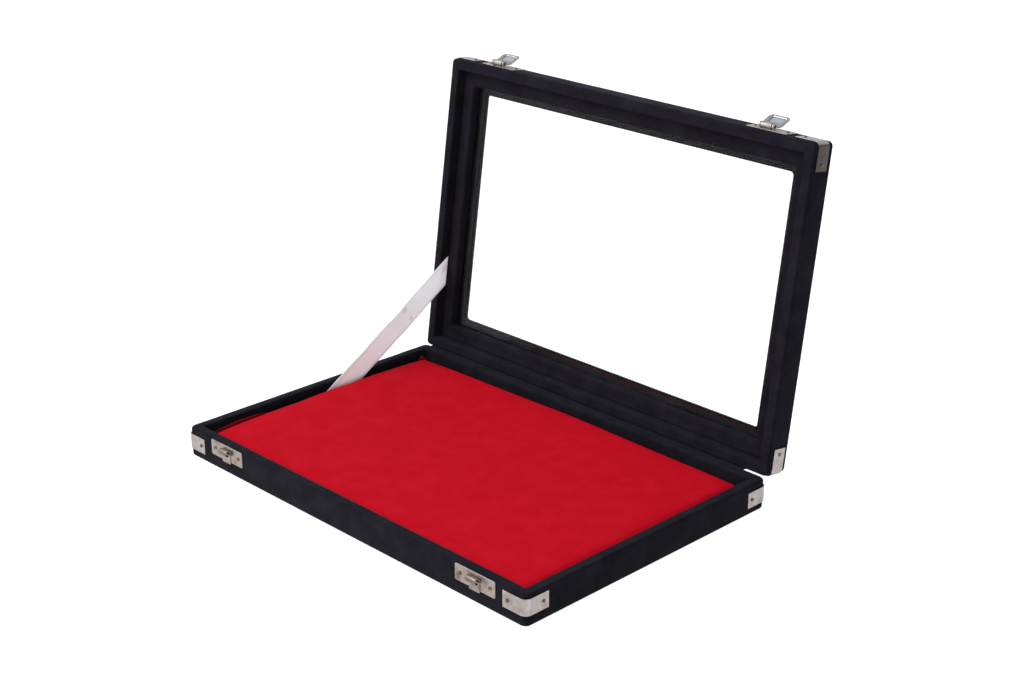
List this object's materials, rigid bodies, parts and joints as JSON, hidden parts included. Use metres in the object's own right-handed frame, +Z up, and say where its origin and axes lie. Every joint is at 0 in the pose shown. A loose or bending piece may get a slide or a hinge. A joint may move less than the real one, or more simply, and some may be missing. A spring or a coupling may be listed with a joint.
{
  "type": "display tray",
  "caption": "Shallow black velvet display tray with a red padded floor and a glazed, cloth-hinged lid that a ribbon holds open and hasps shut.",
  "frame": {"origin": "centre of the flat underside of the base, on the table's surface", "axes": "+Z up; +X along the case's length, to the right seen from the front; -Y is the front, with the hasps; the lid's hinge line runs along X at the top of the back"},
  "size_m": [0.308, 0.2546, 0.2266],
  "materials": {
    "wood": "bare, hidden under the velvet",
    "hardboard": "bare, hidden",
    "black_velvet": "short cut pile, matt, with a faint blue-grey sheen at grazing angles",
    "black_paper": "matt lining paper",
    "grey_card": "matt, hidden",
    "foam": "open-cell foam, hidden",
    "red_velvet": "short-pile red velvet, matt",
    "window_glass": "clear float glass",
    "hinge_cloth": "black bookbinding cloth",
    "tinned_sheet": "tin-plated thin sheet, dull satin",
    "brass_nail": "tarnished brass",
    "white_satin": "white satin ribbon with a soft sheen"
  },
  "bodies": {
    "base": {"base_back_rail": "wood", "base_front_rail": "wood", "base_left_rail": "wood", "base_panel": "hardboard", "base_right_rail": "wood", "base_strap_back_left": "tinned_sheet", "base_strap_back_right": "tinned_sheet", "base_strap_front_left": "tinned_sheet", "base_strap_front_right": "tinned_sheet", "base_strap_nail_back_left_a": "brass_nail", "base_strap_nail_back_left_b": "brass_nail", "base_strap_nail_back_right_a": "brass_nail", "base_strap_nail_back_right_b": "brass_nail", "base_strap_nail_front_left_a": "brass_nail", "base_strap_nail_front_left_b": "brass_nail", "base_strap_nail_front_right_a": "brass_nail", "base_strap_nail_front_right_b": "brass_nail", "base_velvet": "black_velvet", "catch_nail_left_a": "brass_nail", "catch_nail_left_b": "brass_nail", "catch_nail_right_a": "brass_nail", "catch_nail_right_b": "brass_nail", "catch_plate_left": "tinned_sheet", "catch_plate_right": "tinned_sheet", "hinge_cloth": "hinge_cloth", "pad_card": "grey_card", "pad_cover": "red_velvet", "pad_foam": "foam", "ribbon_stay": "white_satin", "underside_lining": "black_paper"},
    "lid": {"glass_bead": "black_velvet", "glass_pane": "window_glass", "hasp_nail_left_a": "brass_nail", "hasp_nail_left_b": "brass_nail", "hasp_nail_right_a": "brass_nail", "hasp_nail_right_b": "brass_nail", "hasp_plate_left": "tinned_sheet", "hasp_plate_right": "tinned_sheet", "lid_back_rail": "wood", "lid_front_rail": "wood", "lid_left_rail": "wood", "lid_right_rail": "wood", "lid_strap_back_left": "tinned_sheet", "lid_strap_back_right": "tinned_sheet", "lid_strap_front_left": "tinned_sheet", "lid_strap_front_right": "tinned_sheet", "lid_strap_nail_back_left_a": "brass_nail", "lid_strap_nail_back_left_b": "brass_nail", "lid_strap_nail_back_right_a": "brass_nail", "lid_strap_nail_back_right_b": "brass_nail", "lid_strap_nail_front_left_a": "brass_nail", "lid_strap_nail_front_left_b": "brass_nail", "lid_strap_nail_front_right_a": "brass_nail", "lid_strap_nail_front_right_b": "brass_nail", "lid_velvet": "black_velvet", "lid_window_board": "hardboard"},
    "hasp_left": {"hasp_left": "tinned_sheet"},
    "hasp_right": {"hasp_right": "tinned_sheet"}
  },
  "joints": [
    {"name": "lid_hinge", "type": "hinge", "parent": "base", "child": "lid", "pos_m": [0, 0.1016, 0.01975], "axis": [1, 0, 0], "range_deg": [0, 98.1], "deforming": ["ribbon_stay", "hinge_cloth"]},
    {"name": "hasp_left_hinge", "type": "hinge", "parent": "lid", "child": "hasp_left", "pos_m": [-0.1118, 0.13526, 0.22329], "axis": [1, 0, 0], "range_deg": [0, 151]},
    {"name": "hasp_right_hinge", "type": "hinge", "parent": "lid", "child": "hasp_right", "pos_m": [0.114, 0.13526, 0.22329], "axis": [1, 0, 0], "range_deg": [0, 151]}
  ]
}
